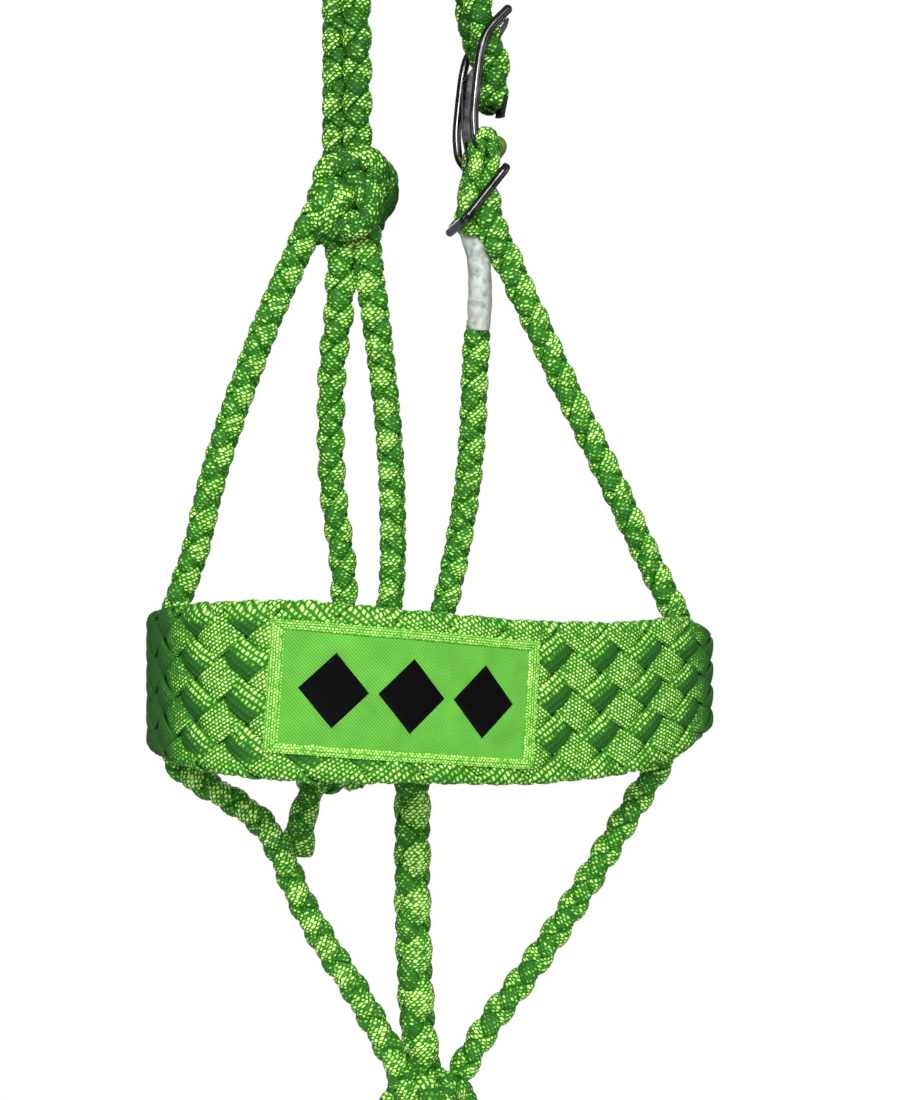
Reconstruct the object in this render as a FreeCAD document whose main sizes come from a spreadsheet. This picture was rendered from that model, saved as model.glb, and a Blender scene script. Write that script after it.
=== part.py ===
import FreeCAD, Part
import math
import os

# Rope halter with a wide plaited noseband, as it hangs from its crown.
# Origin: the top of the crown loop. +Z up, the noseband's front faces -Y, +X to the right of it.
# Everything above the lower side of the cheek knot stays with the crown. The ropes that leave it
# start in a round end on the swing axis, so that the headstall can swing on them.

# name, value (mm or degrees), what it is
DRIVING_SIZES = [
    ("rope_diameter", 12.0, "braided side ropes, crown strands and lead loop"),
    ("riser_diameter", 16.0, "thicker rope that rises from the chin knot"),
    ("edge_roll_diameter", 15.0, "rolled ends of the noseband"),
    ("band_tall", 76.0, "height of the plaited noseband"),
    ("band_thick", 8.0, "thickness of the plait"),
    ("band_middle_z", -507.0, "height of the noseband's middle"),
    ("panel_width", 113.0, "sewn patch with its border"),
    ("panel_tall", 57.0, "sewn patch with its border"),
    ("panel_x", -1.0, "middle of the patch"),
    ("panel_z", -504.5, "middle of the patch"),
    ("panel_tilt", 6.5, "lean of the patch on the band"),
    ("hem_width", 5.5, "stitched hem round the patch"),
    ("fabric_thick", 1.3, "patch fabric"),
    ("hem_thick", 2.1, "folded hem"),
    ("motif_thick", 0.8, "raised embroidery"),
    ("motif_size", 21.0, "side of each embroidered diamond"),
    ("skin_gap", 0.05, "room between sewn layers"),
    ("frame_wire", 4.2, "wire of the buckle frame"),
    ("frame_half_width", 17.0, "buckle middle to a side bar"),
    ("frame_top_x", 11.0, "top bar, outwards of the heel bar"),
    ("frame_top_z", -198.3, "height of the top bar"),
    ("heel_x", 29.0, "heel bar, right of the middle"),
    ("heel_z", -264.0, "height of the heel bar"),
    ("buckle_turn", 13.0, "turn of the buckle about Z"),
    ("bar_room", 0.35, "room between the heel bar and what turns on it"),
    ("tongue_width", 3.0, "between the two strands"),
    ("tongue_left", -6.2, "inner side of the tongue, outwards of the heel bar"),
    ("tongue_thick", 4.5, ""),
    ("tongue_knee", 36.0, "heel bar to the tongue's bend"),
    ("tongue_tip_x", 15.4, "tip of the closed tongue, outwards of the heel bar"),
    ("tongue_tip", 67.8, "heel bar to the tip"),
    ("tongue_eye", 8.4, "outer diameter of its eye"),
    ("ring_wire", 4.2, "wire of the keeper ring"),
    ("ring_half_length", 16.0, "keeper ring, along its slope, middle to wire"),
    ("ring_half_width", 16.8, "keeper ring, across, middle to wire"),
    ("ring_corner", 3.5, "keeper ring's corner radius"),
    ("ring_slope", 52.0, "slope of the keeper ring"),
    ("ring_x", 1.1, "keeper ring's middle, outwards of the heel bar"),
    ("ring_z", -282.0, "height of the keeper ring's middle"),
    ("strand_half_gap", 2.0, "middle of the buckle to each strand's side"),
    ("fold_height", 4.5, "straight part of a fold above the heel bar"),
    ("fold_radius", 7.5, "outer radius of a rope folded over the heel bar"),
    ("fold_shift", 1.1, "the fold's middle, outwards of the heel bar"),
    ("nub_radius", 4.6, "melted rope end"),
    ("nub_length", 5.0, "melted rope end"),
    ("nub_rise", 8.0, "melted rope end above the heel bar"),
    ("crimp_tall", 8.5, "metal tip on the front crown strand"),
    ("crimp_thick", 0.8, ""),
    ("tape_half_width", 5.5, "taped splice"),
    ("tape_half_depth", 8.5, "taped splice"),
    ("swing_z", -309.0, "height of the axis that the headstall swings on"),
]

# Routes of the ropes, each a list of (x, y, z) in mm from its first end to its last.
CROWN_STRAND_FRONT = [
    (-25.5, -3.5, -268), (-26, -4, -182), (-34, -6, -128), (-40.5, -7.5, -80), (-40, -8, -33),
    (-24.7, -8, -12), (0, -8, -4), (24.7, -8, -12), (40, -8, -33), (41, -8, -80),
    (37, -8, -126), (31, -8.2, -158), (28.5, -8.3, -187), (32, -7.6, -203), (37.8, -6.3, -216),
    (38.6, -6, -229), (35.9, -6.7, -244),
]
CROWN_STRAND_REAR = [
    (-36, 5, -268), (-36.5, 5, -182), (-39, 6.5, -128), (-42, 7.5, -80), (-40.5, 8, -33),
    (-24.7, 8, -12), (0, 8, -4), (24.7, 8, -12), (40, 8, -33), (40, 8, -80),
    (35, 8, -126), (28.5, 7.6, -158), (25, 7.3, -187), (28.2, 8.2, -204), (34, 9.3, -217),
    (36.5, 9.9, -230), (36.6, 9.9, -243),
]
CHEEK_ROPE_LEFT = [
    (-53.5, 0, -309), (-66, 1, -334), (-74.5, 2, -356), (-83.5, 3.5, -380), (-91, 5, -402),
    (-96, 6, -424), (-99.5, 7, -447), (-104.5, 8, -470),
]
CHEEK_ROPE_RIGHT = [
    (43.5, -2, -309), (49.5, -1.5, -323), (56.5, 0, -337), (69.5, 4, -365), (84, 8, -393),
    (98.5, 13, -422), (112.5, 18, -451), (125, 22.5, -474),
]
THROAT_ROPE_LEFT_OUTER = [
    (-34.5, 1, -309), (-35.5, 8, -333), (-38.5, 15, -356), (-39.5, 22, -379), (-40, 28, -402),
    (-38.5, 34, -425), (-35, 40, -448), (-34, 44, -472), (-41, 44, -516),
]
THROAT_ROPE_LEFT_INNER = [
    (-20.5, 1, -309), (-17.5, 8, -333), (-15, 16, -357), (-12.5, 23, -380), (-11, 30, -403),
    (-10.5, 36, -426), (-10.5, 41, -449), (-12, 44.5, -475), (-24, 44, -515),
]
THROAT_ROPE_RIGHT = [
    (30.5, 8.5, -336), (29, 14, -358), (28.5, 21, -380), (27, 28, -403), (24, 34, -426),
    (20, 39.5, -448), (15, 44, -472), (4, 45, -497), (-20, 43, -526),
]
CHIN_ROPE_LEFT = [
    (-108, 9, -548), (-88, 9, -559), (-70.5, 9, -571), (-61.5, 9, -586), (-55, 9.5, -604),
    (-47.5, 9.5, -618), (-38.5, 8, -633), (-29.5, 6, -645), (-22.5, 3.5, -656), (-14.5, 1, -669),
    (-6.5, 0, -684), (-1, 0, -697),
]
CHIN_ROPE_RIGHT = [
    (120, 23, -548), (108, 22, -564), (89, 21, -593), (73, 20, -613), (50.5, 18, -645),
    (31.5, 16, -671), (20.5, 15, -694),
]
CHIN_RISER_ROPE = [
    (0, 15.6, -548), (-0.5, 17, -585), (-0.5, 17.5, -616), (0.7, 17, -647), (2, 16, -672),
    (6, 14, -698),
]
LEAD_LOOP = [
    (-1, 9, -738.5), (-17, 9, -752), (-22, 9, -773), (-12, 9, -792), (7, 9, -799),
    (26, 9, -792), (36, 9, -773), (31, 9, -752), (15, 9, -738.5),
]
KNOT_TAIL = [(-46.5, 32, -566.5), (-49, 32.4, -577), (-54, 32, -589)]
NOSEBAND_END_LEFT = [(-104.5, 8, -470), (-116, 8, -487), (-118.5, 8, -510), (-111, 8.3, -534)]
NOSEBAND_END_RIGHT = [(125, 22.5, -474), (135.5, 24, -493), (134, 24, -516), (123, 23.2, -534)]

# The noseband's middle line seen from above, left end to right end, (x, y) in mm.
NOSEBAND_PLAN = [
    (-117, 2), (-112, -34), (-88, -66), (-48, -80), (2, -69), (52, -44), (98, -20), (128, 2),
    (136, 18),
]
# One side bar of the buckle: mm outwards of the heel bar, and height, top bar to heel bar.
FRAME_SIDE = [(11, -198.3), (4.8, -204.5), (0.2, -211), (-1.8, -219), (-3.6, -233), (-5, -249),
              (-4, -259), (0, -264)]

# name: (middle, half sizes along X, Y and Z) in mm
KNOTS = {
    "side_knot_left": ((-28, 0, -280), (20.6, 18, 22.4)),
    "throat_knot": ((-38, 42, -535), (24, 17, 25)),
    "chin_knot": ((7, 9, -709), (23, 18, 22)),
}

os.makedirs("parts", exist_ok=True)
doc = FreeCAD.newDocument("rope_halter")
Vector = FreeCAD.Vector
sub_parts = []


def make_sheet():
    sheet = doc.addObject("Spreadsheet::Sheet", "Sizes")
    for row, (name, value, note) in enumerate(DRIVING_SIZES, start=1):
        sheet.set(f"A{row}", name)
        sheet.set(f"B{row}", str(value))
        sheet.set(f"C{row}", note)
        sheet.setAlias(f"B{row}", name)
    doc.recompute()
    return sheet


sizes = make_sheet()
rope_radius = sizes.rope_diameter / 2
frame_wire_radius = sizes.frame_wire / 2
bar_hole_radius = frame_wire_radius + sizes.bar_room


def keep(obj, name):
    """Makes obj a sub-part, whose file has this name."""
    obj.Label = name
    sub_parts.append(obj)
    return obj


def feature(name, shape, placement=None):
    """A sub-part whose shape is worked out here from the sheet's sizes."""
    obj = doc.addObject("Part::Feature", name)
    obj.Shape = shape
    if placement:
        obj.Placement = placement
    return keep(obj, name)


def on_buckle(across=0.0):
    """The placement of what is built beside the heel bar, which is X = 0 in its own shape."""
    turn = FreeCAD.Rotation(Vector(0, 0, 1), sizes.buckle_turn)
    return FreeCAD.Placement(Vector(sizes.heel_x, 0, 0) + turn.multVec(Vector(0, across, 0)), turn)


def rounded_path(points, name=None, share=0.45):
    """Straight runs joined by tangent arcs, each as large as its two runs allow."""
    points = [Vector(*p) for p in points]
    edges = []
    radii = []
    begin = points[0]
    for before, corner, after in zip(points, points[1:], points[2:]):
        came = (corner - before).normalize()
        goes = (after - corner).normalize()
        half_turn = came.getAngle(goes) / 2
        reach = share * min((corner - before).Length, (after - corner).Length)
        radius = reach / math.tan(half_turn)
        inwards = (goes - came).normalize()
        middle = corner + inwards * (radius / math.cos(half_turn) - radius)
        edges.append(Part.LineSegment(begin, corner - came * reach).toShape())
        edges.append(Part.Arc(corner - came * reach, middle, corner + goes * reach).toShape())
        radii.append(radius)
        begin = corner + goes * reach
    edges.append(Part.LineSegment(begin, points[-1]).toShape())
    path = Part.Wire(edges)
    if name:
        print(name, "length", round(path.Length, 1), "arc radii", [round(r) for r in radii])
    return path


def tube_shape(points, radius, name=None):
    """A round tube along the route, its volume compared with its section times its length."""
    path = rounded_path(points, name)
    start = Vector(*points[0])
    circle = Part.Circle(start, Vector(*points[1]) - start, radius)
    shape = path.makePipe(Part.Face(Part.Wire(circle.toShape())))
    solid = shape.Solids[0]
    share = solid.Volume / (math.pi * radius**2 * path.Length)
    if abs(share - 1) > 0.01:
        raise ValueError(f"{name}: the tube's volume is {share:.3f} of its section times its length")
    return solid


def rope(name, points, diameter_name="rope_diameter", round_ends=()):
    """A rope as a plain tube. round_ends: which ends, 0 or -1, are balls on a swing axis."""
    radius = getattr(sizes, diameter_name) / 2
    shape = tube_shape(points, radius, name)
    for end in round_ends:
        shape = shape.fuse(Part.makeSphere(radius, Vector(*points[end])))
    return feature(name, shape.removeSplitter())


def knot(name):
    """A knot as a closed rounded solid of its outer size."""
    middle, half = KNOTS[name]
    obj = doc.addObject("Part::Ellipsoid", name)
    # Radius1 is the height's half, Radius2 along X and Radius3 along Y.
    for key, value in zip(("Radius2", "Radius3", "Radius1"), half):
        setattr(obj, key, value)
    obj.Placement = FreeCAD.Placement(Vector(*middle), FreeCAD.Rotation())
    return keep(obj, name)


def new_sketch(body, name, plane):
    """A sketch on one of the body's own origin planes."""
    sketch = body.newObject("Sketcher::SketchObject", name)
    origin_plane = [f for f in body.Origin.OriginFeatures if f.Role == plane][0]
    sketch.AttachmentSupport = [(origin_plane, "")]
    sketch.MapMode = "FlatFace"
    return sketch


def outline_body(name, outline, length, across):
    """A padded outline in the buckle's middle plane: X is outwards, sketch Y is height.

    outline: points, or (middle, radius, start angle, end angle) for a counterclockwise arc.
    The plane's normal is -Y, so the pad runs from across towards -Y by its length.
    """
    body = doc.addObject("PartDesign::Body", name)
    sketch = new_sketch(body, name + "_outline", "XZ_Plane")
    add_outline(sketch, outline)
    pad = body.newObject("PartDesign::Pad", name + "_pad")
    pad.Profile = sketch
    pad.setExpression("Length", "Sizes." + length)
    body.Placement = on_buckle(across)
    doc.recompute()
    return keep(body, name)


def arc_end(arc, which):
    (x, y), radius, start, stop = arc
    angle = math.radians((start, stop)[which])
    return (x + radius * math.cos(angle), y + radius * math.sin(angle))


def add_outline(sketch, outline):
    """Adds a closed outline of lines, with an arc where an entry of it is an arc."""
    def ends(entry):
        if len(entry) == 2:
            return entry, entry
        if entry[2] < entry[3]:
            return arc_end(entry, 0), arc_end(entry, 1)
        return arc_end(entry, 0), arc_end(entry, 1)

    for this, following in zip(outline, outline[1:] + outline[:1]):
        if len(this) == 4:
            (x, y), radius, start, stop = this
            low, high = sorted((math.radians(start), math.radians(stop)))
            circle = Part.Circle(Vector(x, y, 0), Vector(0, 0, 1), radius)
            sketch.addGeometry(Part.ArcOfCircle(circle, low, high))
        leave = Vector(*ends(this)[1], 0)
        arrive = Vector(*ends(following)[0], 0)
        if (arrive - leave).Length > 1e-6:
            sketch.addGeometry(Part.LineSegment(leave, arrive))


def build_crown():
    rope("crown_strand_front", CROWN_STRAND_FRONT)
    rope("crown_strand_rear", CROWN_STRAND_REAR)
    knot("side_knot_left")


def build_crimp():
    """A curved metal tip on the outer side of the front strand's end."""
    end = Vector(*CROWN_STRAND_FRONT[-1])
    inner = rope_radius + sizes.skin_gap * 2
    outer = inner + sizes.crimp_thick
    spread = 110.0
    along = Vector(*CROWN_STRAND_FRONT[-2]) - end
    lean = FreeCAD.Rotation(Vector(0, 0, 1), along)
    turn = lean.multiply(FreeCAD.Rotation(Vector(0, 0, 1), sizes.buckle_turn - spread / 2))
    sector = Part.makeCylinder(outer, sizes.crimp_tall, Vector(), Vector(0, 0, 1), spread)
    core = Part.makeCylinder(inner, sizes.crimp_tall)
    placement = FreeCAD.Placement(end + Vector(0, 0, 0.5), turn)
    feature("crown_tip_crimp", sector.cut(core), placement)


def build_buckle():
    """A bent wire frame: two side bars, the top bar and the heel bar, with round corners."""
    half = sizes.frame_half_width
    pieces = []
    for across in (-half, half):
        pieces.append(tube_shape([(x, across, z) for x, z in FRAME_SIDE], frame_wire_radius))
    for x, z in (FRAME_SIDE[0], FRAME_SIDE[-1]):
        bar = Part.makeCylinder(frame_wire_radius, 2 * half, Vector(x, -half, z), Vector(0, 1, 0))
        pieces.append(bar)
        for across in (-half, half):
            pieces.append(Part.makeSphere(frame_wire_radius, Vector(x, across, z)))
    frame = pieces[0].multiFuse(pieces[1:]).removeSplitter()
    feature("buckle_frame", frame, on_buckle())


def build_tongue():
    """A bent flat tongue with an eye round the heel bar. It rests outside the top bar."""
    body = doc.addObject("PartDesign::Body", "buckle_tongue")
    sketch = new_sketch(body, "tongue_outline", "XZ_Plane")
    eye = sizes.tongue_eye / 2
    left = sizes.tongue_left
    right = left + sizes.tongue_thick
    knee = sizes.tongue_knee
    tip_x, tip = sizes.tongue_tip_x, sizes.tongue_tip
    outline = [
        (right, 13),
        (right, knee - 2.5),
        (right + 1.5, knee + 1.5),
        (tip_x - 0.5, tip - 5),
        (tip_x + 0.5, tip - 1.3),
        (tip_x - 0.4, tip),
        (tip_x - 1.5, tip - 1.7),
        (left, knee),
        (left, 12),
        ((0, 0), eye, 165, 435),
    ]
    add_outline(sketch, outline)
    hole = Part.Circle(Vector(), Vector(0, 0, 1), bar_hole_radius)
    sketch.addGeometry(hole)
    pad = body.newObject("PartDesign::Pad", "tongue_pad")
    pad.Profile = sketch
    pad.setExpression("Length", "Sizes.tongue_width")
    at_bar = FreeCAD.Placement(Vector(0, 0, sizes.heel_z), FreeCAD.Rotation())
    body.Placement = on_buckle(sizes.tongue_width / 2).multiply(at_bar)
    doc.recompute()
    keep(body, "buckle_tongue")


def build_keeper_ring():
    """A rounded wire ring round both legs of the folded ropes, sloping down to the left."""
    long_half = sizes.ring_half_length
    wide_half = sizes.ring_half_width
    corner = sizes.ring_corner
    edges = []
    for quarter in range(4):
        turn = FreeCAD.Rotation(Vector(0, 0, 1), 90 * quarter)
        ahead, beside = (long_half, wide_half) if quarter % 2 == 0 else (wide_half, long_half)
        line_start = Vector(ahead, -(beside - corner), 0)
        line_end = Vector(ahead, beside - corner, 0)
        arc_middle = Vector(ahead - corner, beside - corner, 0)
        arc_point = arc_middle + Vector(corner, corner, 0) * math.sqrt(0.5)
        arc_stop = Vector(ahead - corner, beside, 0)
        line = [turn.multVec(v) for v in (line_start, line_end)]
        arc = [turn.multVec(v) for v in (line_end, arc_point, arc_stop)]
        edges.append(Part.LineSegment(*line).toShape())
        edges.append(Part.Arc(*arc).toShape())
    start = edges[0].Vertexes[0].Point
    section = Part.Circle(start, Vector(0, 1, 0), sizes.ring_wire / 2)
    ring = Part.Wire(edges).makePipe(Part.Face(Part.Wire(section.toShape()))).Solids[0]
    slope = FreeCAD.Rotation(Vector(0, 1, 0), -sizes.ring_slope)
    there = FreeCAD.Placement(Vector(sizes.ring_x, 0, sizes.ring_z), slope)
    feature("keeper_ring", ring, on_buckle().multiply(there))


def build_folds():
    """Two ropes squeezed flat where they fold over the heel bar, side by side along it."""
    top = (sizes.fold_shift, sizes.heel_z + sizes.fold_height)
    left = sizes.fold_shift - sizes.fold_radius
    right = sizes.fold_shift + sizes.fold_radius
    slit = 0.5
    slit_angle = math.degrees(math.asin(slit / bar_hole_radius))
    slit_depth = 4.0
    straight_end = -285
    leg_end = -299
    left_leg = [
        (3.5, leg_end),
        (-4.5, leg_end),
        (left, straight_end),
    ]
    over_top = [(top, sizes.fold_radius, 180, 0)]
    bar_hole = [((0, sizes.heel_z), bar_hole_radius, -90 + slit_angle, 270 - slit_angle)]
    slit_left = [(-slit, sizes.heel_z - slit_depth)]
    right_leg = [
        (right, -278),
        (20, -301),
        (8, -301),
        (slit, sizes.heel_z - slit_depth),
    ]
    cheek = left_leg + over_top + right_leg + bar_hole + slit_left
    outline_body("cheek_fold", cheek, "rope_diameter", -sizes.strand_half_gap)

    short_leg = [(right, sizes.heel_z)]
    end_hole = [((0, sizes.heel_z), bar_hole_radius, 0, 270 - slit_angle)]
    throat = left_leg + over_top + short_leg + end_hole + slit_left
    across = sizes.strand_half_gap + sizes.rope_diameter
    outline_body("throat_fold", throat, "rope_diameter", across)

    nub = doc.addObject("Part::Cylinder", "rope_end_nub")
    nub.setExpression("Radius", "Sizes.nub_radius")
    nub.setExpression("Height", "Sizes.nub_length")
    sideways = FreeCAD.Rotation(Vector(0, 1, 0), 90)
    beside = FreeCAD.Placement(Vector(right, 0, sizes.heel_z + sizes.nub_rise), sideways)
    middle = sizes.strand_half_gap + rope_radius
    nub.Placement = on_buckle(middle).multiply(beside)
    keep(nub, "rope_end_nub")


def build_splice_tape():
    """The taped splice: a flat oval with a rounded top on the swing axis."""
    middle = Vector(30.9, 0.5, sizes.swing_z)
    down = Vector(-0.4, 8, -29.6)
    wide = sizes.tape_half_width
    deep = sizes.tape_half_depth
    oval = Part.Ellipse(middle + Vector(0, deep, 0), middle + Vector(wide, 0, 0), middle)
    body = Part.Face(Part.Wire(oval.toShape())).extrude(down)
    ball = Part.makeSphere(1)
    stretch = FreeCAD.Matrix()
    stretch.scale(wide, deep, deep)
    dome = ball.transformGeometry(stretch)
    dome.translate(middle)
    upper = Part.makeBox(40, 40, 20, middle - Vector(20, 20, 0))
    feature("throat_splice_tape", body.fuse(dome.common(upper)).removeSplitter())


def band_path():
    return rounded_path([(x, y, 0) for x, y in NOSEBAND_PLAN], "noseband_plan")


def band_strip(path, inner, outer, low, high):
    """A strip that follows the noseband, from inner to outer in front of its middle surface."""
    start = path.Edges[0].Vertexes[0].Point
    ahead = path.Edges[0].tangentAt(path.Edges[0].FirstParameter)
    front = Vector(ahead.y, -ahead.x, 0)
    corners = [start + front * d + Vector(0, 0, z)
               for d, z in ((inner, low), (outer, low), (outer, high), (inner, high))]
    section = Part.makePolygon(corners + corners[:1])
    return path.makePipeShell([section], True, False)


def panel_prism(width, tall, turn=0.0, shift=0.0):
    """A block as wide and tall as given, through the band at the patch, leaning as it does."""
    deep = 200
    block = Part.makeBox(width, deep, tall, Vector(-width / 2, -deep, -tall / 2))
    block.rotate(Vector(), Vector(0, 1, 0), turn)
    block.translate(Vector(shift, 0, 0))
    block.rotate(Vector(), Vector(0, 1, 0), sizes.panel_tilt)
    block.translate(Vector(sizes.panel_x, 0, sizes.panel_z))
    return block


def build_noseband():
    path = band_path()
    low = sizes.band_middle_z - sizes.band_tall / 2
    high = sizes.band_middle_z + sizes.band_tall / 2
    front = sizes.band_thick / 2
    feature("noseband", band_strip(path, -front, front, low, high))

    skin = front + sizes.skin_gap
    hem_inside = (sizes.panel_width - 2 * sizes.hem_width, sizes.panel_tall - 2 * sizes.hem_width)
    room = 4 * sizes.skin_gap
    fabric = band_strip(path, skin, skin + sizes.fabric_thick, low, high)
    panel = fabric.common(panel_prism(hem_inside[0] - room, hem_inside[1] - room))
    feature("patch_panel", panel)

    folded = band_strip(path, skin, skin + sizes.hem_thick, low, high)
    ring = panel_prism(sizes.panel_width, sizes.panel_tall).cut(panel_prism(*hem_inside))
    feature("patch_hem", folded.common(ring))

    motif_from = skin + sizes.fabric_thick + sizes.skin_gap
    thread = band_strip(path, motif_from, motif_from + sizes.motif_thick, low, high)
    spacing = sizes.motif_size * 1.5
    diamonds = [thread.common(panel_prism(sizes.motif_size, sizes.motif_size, 45, spacing * k))
                for k in (-1, 0, 1)]
    feature("patch_motif", Part.makeCompound([s for d in diamonds for s in d.Solids]))

    rope("noseband_end_left", NOSEBAND_END_LEFT, "edge_roll_diameter")
    rope("noseband_end_right", NOSEBAND_END_RIGHT, "edge_roll_diameter")


def build_headstall():
    rope("cheek_rope_left", CHEEK_ROPE_LEFT, round_ends=(0,))
    rope("cheek_rope_right", CHEEK_ROPE_RIGHT, round_ends=(0,))
    rope("throat_rope_left_outer", THROAT_ROPE_LEFT_OUTER, round_ends=(0,))
    rope("throat_rope_left_inner", THROAT_ROPE_LEFT_INNER, round_ends=(0,))
    rope("throat_rope_right", THROAT_ROPE_RIGHT)
    build_splice_tape()
    knot("throat_knot")


def build_chin():
    rope("chin_rope_left", CHIN_ROPE_LEFT, round_ends=(0,))
    rope("chin_rope_right", CHIN_ROPE_RIGHT, round_ends=(0,))
    rope("chin_riser_rope", CHIN_RISER_ROPE, "riser_diameter", round_ends=(0,))
    knot("chin_knot")
    rope("lead_loop", LEAD_LOOP, round_ends=(0, -1))
    rope("knot_tail", KNOT_TAIL, round_ends=(0,))


def check_and_export():
    doc.recompute()
    for obj in doc.Objects:
        if "Invalid" in obj.State or "Error" in obj.State:
            raise ValueError(f"{obj.Label} failed: {obj.State}")
    for obj in sub_parts:
        if obj.Shape.isNull() or not obj.Shape.isValid():
            raise ValueError(f"{obj.Label}: no valid shape")
    for obj in sub_parts:
        obj.Shape.exportStep(f"parts/{obj.Label}.step")
        box = obj.Shape.BoundBox
        print(obj.Label, len(obj.Shape.Solids), round(obj.Shape.Volume),
              [round(v, 1) for v in (box.XMin, box.YMin, box.ZMin, box.XMax, box.YMax, box.ZMax)])


build_crown()
build_crimp()
build_buckle()
build_tongue()
build_keeper_ring()
build_folds()
build_headstall()
build_noseband()
build_chin()
check_and_export()
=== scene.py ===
import math

import bpy
import numpy as np
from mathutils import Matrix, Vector


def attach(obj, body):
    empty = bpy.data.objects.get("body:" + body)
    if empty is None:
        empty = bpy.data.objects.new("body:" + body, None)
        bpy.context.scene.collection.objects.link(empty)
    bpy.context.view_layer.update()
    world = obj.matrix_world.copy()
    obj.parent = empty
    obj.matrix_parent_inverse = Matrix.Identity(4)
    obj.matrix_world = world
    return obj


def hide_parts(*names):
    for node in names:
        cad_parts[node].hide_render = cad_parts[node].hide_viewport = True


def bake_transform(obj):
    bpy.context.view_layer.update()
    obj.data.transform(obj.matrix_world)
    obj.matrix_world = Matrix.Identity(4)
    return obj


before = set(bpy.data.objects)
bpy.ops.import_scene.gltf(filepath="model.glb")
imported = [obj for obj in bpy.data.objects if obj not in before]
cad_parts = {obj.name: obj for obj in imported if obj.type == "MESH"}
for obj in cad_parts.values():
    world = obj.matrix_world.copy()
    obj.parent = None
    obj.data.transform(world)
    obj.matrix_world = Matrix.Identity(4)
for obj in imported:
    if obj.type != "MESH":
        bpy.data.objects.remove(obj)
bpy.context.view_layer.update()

# Rope halter hanging from its crown: braided flat-tape ropes, a plaited noseband with a sewn patch,
# a black nickel buckle and keeper ring. Metres, +Z up, the noseband's front faces -Y.

MM = 0.001
ROPE = 0.012                            # diameters of the ropes and of the thicker riser
RISER = 0.016
HEEL = Vector((0.029, 0.0, -0.264))     # the middle of the buckle's heel bar
BUCKLE_TURN = math.radians(13)
BAR_AXIS = np.array([-math.sin(BUCKLE_TURN), math.cos(BUCKLE_TURN), 0.0])


# ---------------------------------------------------------------- camera, light and floor

def make_camera():
    """Level, in front of the halter, as far off as its perspective asks."""
    data = bpy.data.cameras.new("camera")
    data.lens = 53.0
    data.sensor_width = 36.0
    camera = bpy.data.objects.new("camera", data)
    bpy.context.collection.objects.link(camera)
    camera.location = (0.018, -0.75, -0.444)
    camera.rotation_euler = (math.radians(90), 0, 0)
    bpy.context.scene.camera = camera


def area_light(name, place, target, size, power):
    data = bpy.data.lights.new(name, "AREA")
    data.shape = "DISK"
    data.size = size
    data.energy = power
    lamp = bpy.data.objects.new(name, data)
    bpy.context.collection.objects.link(lamp)
    lamp.location = place
    aim = Vector(target) - Vector(place)
    lamp.rotation_mode = "QUATERNION"
    lamp.rotation_quaternion = aim.to_track_quat("-Z", "Y")


def make_studio():
    """Soft lamps round the halter, and a white world that lights less than it shows."""
    middle = (0, 0, -0.45)
    area_light("key", (-0.3, -1.3, 0.15), middle, 0.45, 13)
    area_light("front", (0.3, -1.35, -0.35), middle, 0.6, 7)
    area_light("high", (0.17, -1.2, 0.38), middle, 0.32, 5)
    area_light("sheen", (0.57, -1.12, 0.13), middle, 0.3, 0.9)
    area_light("left", (-1.4, -0.5, -0.2), middle, 0.9, 2.5)
    area_light("right", (1.4, -0.3, -0.3), middle, 0.9, 2.5)
    area_light("back", (0.2, 1.5, 0.3), middle, 1.0, 9)
    world = bpy.data.worlds.new("studio")
    bpy.context.scene.world = world
    world.use_nodes = True
    nodes, links = world.node_tree.nodes, world.node_tree.links
    nodes.clear()
    seen = nodes.new("ShaderNodeBackground")
    seen.inputs["Color"].default_value = (1, 1, 1, 1)
    seen.inputs["Strength"].default_value = 1.0
    fill = nodes.new("ShaderNodeBackground")
    fill.inputs["Color"].default_value = (0.95, 0.98, 1, 1)
    fill.inputs["Strength"].default_value = 0.26
    path = nodes.new("ShaderNodeLightPath")
    mix = nodes.new("ShaderNodeMixShader")
    out = nodes.new("ShaderNodeOutputWorld")
    links.new(path.outputs["Is Camera Ray"], mix.inputs[0])
    links.new(fill.outputs[0], mix.inputs[1])
    links.new(seen.outputs[0], mix.inputs[2])
    links.new(mix.outputs[0], out.inputs[0])
    bpy.context.scene.view_settings.view_transform = "Standard"


def make_floor():
    """A pale round floor under the halter, smaller than the camera would see."""
    sides = 96
    radius = 0.34
    height = -0.83
    ring = [(radius * math.cos(a), radius * math.sin(a), height)
            for a in np.linspace(0, 2 * math.pi, sides, endpoint=False)]
    mesh = bpy.data.meshes.new("floor")
    mesh.from_pydata(ring, [], [list(range(sides))])
    floor = bpy.data.objects.new("floor", mesh)
    bpy.context.collection.objects.link(floor)
    mesh.materials.append(Look("pale_floor", (0.86, 0.86, 0.85), 0.7).material)


# ---------------------------------------------------------------- materials

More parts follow.
